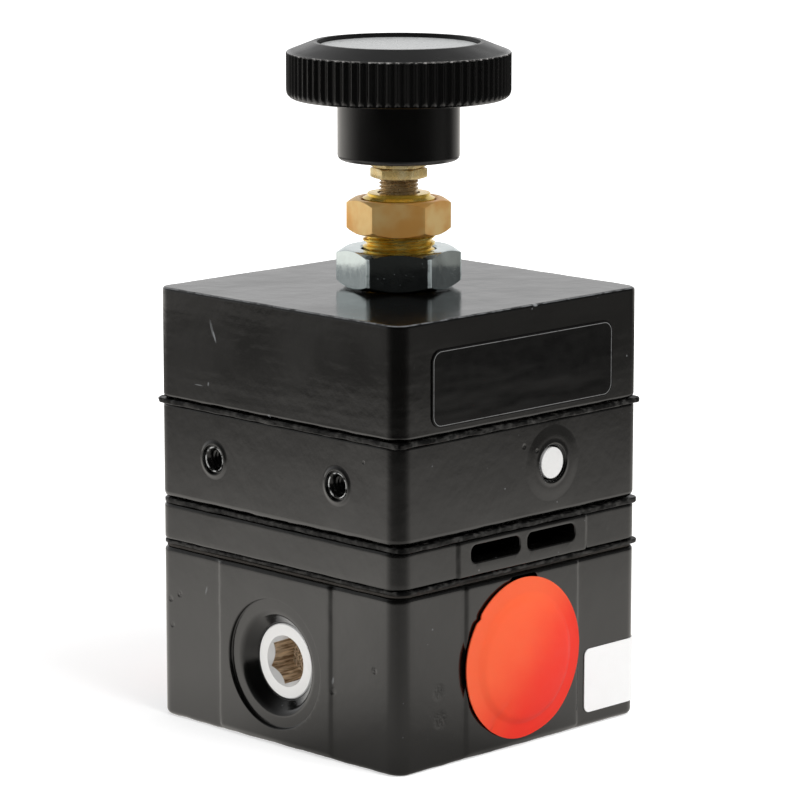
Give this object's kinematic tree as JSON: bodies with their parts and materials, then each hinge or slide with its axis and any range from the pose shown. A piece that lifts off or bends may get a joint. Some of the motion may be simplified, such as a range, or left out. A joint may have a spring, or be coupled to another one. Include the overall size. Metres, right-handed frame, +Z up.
{
  "type": "precision air pressure regulator",
  "caption": "Square stacked-body precision air pressure regulator with a fluted adjusting knob, exhaust slots, push-in port caps and socket gauge plugs.",
  "frame": {"origin": "centre of the base's underside", "axes": "+Z up along the adjusting spindle; -Y is the front with the label, exhaust slots and inlet port; -X is the left side with the two tapped mounting holes"},
  "size_m": [0.0612, 0.066, 0.1202],
  "materials": {
    "body_paint": "satin black paint over die-cast metal, with small nibs and scratches",
    "black_rubber": "matt moulded rubber sheet",
    "gasket_fibre": "matt pressed fibre",
    "knob_phenolic": "glossy black phenolic moulding",
    "disc_grey": "smooth light grey disc",
    "brass": "bright turned brass",
    "spindle_bronze": "dark oiled thread",
    "zinc_plate": "bluish bright zinc plating on steel",
    "nickel_plate": "bright nickel plating, brassy inside the socket",
    "steel": "plain bright steel",
    "black_steel": "black oxide steel",
    "aluminium": "turned aluminium",
    "red_vinyl": "soft satin vinyl",
    "label_film": "black printed film with a thin pale outline",
    "sticker_paper": "white coated paper"
  },
  "bodies": {
    "root": {"base_body": "body_paint", "exhaust_ring": "body_paint", "upper_ring": "body_paint", "bonnet": "body_paint", "base_gasket": "gasket_fibre", "lower_relay_diaphragm": "black_rubber", "upper_relay_diaphragm": "black_rubber", "control_diaphragm": "black_rubber", "bottom_plug_o_ring": "black_rubber", "bonnet_bushing": "brass", "panel_nut": "brass", "bonnet_lock_nut": "zinc_plate", "regulating_spring": "steel", "pilot_nozzle": "brass", "bleed_restrictor": "brass", "sealing_plug": "aluminium", "valve_seat": "brass", "valve_spring": "steel", "bottom_plug": "brass", "left_gauge_plug": "nickel_plate", "right_gauge_plug": "nickel_plate", "body_screw_1": "black_steel", "body_screw_2": "black_steel", "body_screw_3": "black_steel", "body_screw_4": "black_steel", "front_label": "label_film", "corner_sticker": "sticker_paper"},
    "adjuster": {"knob": "knob_phenolic", "knob_disc": "disc_grey", "knob_insert": "brass", "knob_lock_nut": "brass", "adjusting_spindle": "spindle_bronze"},
    "spring_rest": {"upper_spring_rest": "steel", "thrust_ball": "steel"},
    "relay": {"relay_hub": "aluminium", "exhaust_seat": "brass", "lower_relay_plate": "aluminium", "upper_relay_plate": "aluminium", "relay_top_plate": "aluminium", "relay_nut": "steel"},
    "valve": {"main_valve": "brass", "valve_disc": "black_rubber"},
    "control": {"control_plate": "aluminium", "control_nut": "steel", "flapper_bolt": "brass", "flapper_washer": "aluminium"},
    "front_cap": {"front_port_cap": "red_vinyl"},
    "back_cap": {"back_port_cap": "red_vinyl"}
  },
  "joints": [
    {"name": "spring_rest_slide", "type": "slide", "parent": "root", "child": "spring_rest", "axis": [0, 0, 1], "range_m": [-0.00222, 0.00127], "deforming": ["regulating_spring"]},
    {"name": "knob_turn", "type": "hinge", "parent": "spring_rest", "child": "adjuster", "pos_m": [0, 0, 0.1], "axis": [0, 0, 1], "range_deg": [-1261, 721]},
    {"name": "relay_slide", "type": "slide", "parent": "root", "child": "relay", "axis": [0, 0, 1], "range_m": [-0.0012, 0], "stiffness_N_per_m": 800, "springref_m": 0.002, "deforming": ["lower_relay_diaphragm", "upper_relay_diaphragm"]},
    {"name": "main_valve_slide", "type": "slide", "parent": "root", "child": "valve", "axis": [0, 0, 1], "range_m": [-0.0012, 0], "deforming": ["valve_spring"]},
    {"name": "control_slide", "type": "slide", "parent": "root", "child": "control", "axis": [0, 0, 1], "range_m": [-0.0002, 0.0006], "stiffness_N_per_m": 20000, "springref_m": 0.00002, "deforming": ["control_diaphragm"]},
    {"name": "front_cap_pull", "type": "slide", "parent": "root", "child": "front_cap", "axis": [0, -1, 0], "range_m": [0, 0.03]},
    {"name": "back_cap_pull", "type": "slide", "parent": "root", "child": "back_cap", "axis": [0, 1, 0], "range_m": [0, 0.03]}
  ],
  "couplings": [
    {"joint": "knob_turn", "follows": "spring_rest_slide", "rad_per_m": 9894.8},
    {"joint": "main_valve_slide", "follows": "relay_slide", "ratio": 1}
  ]
}
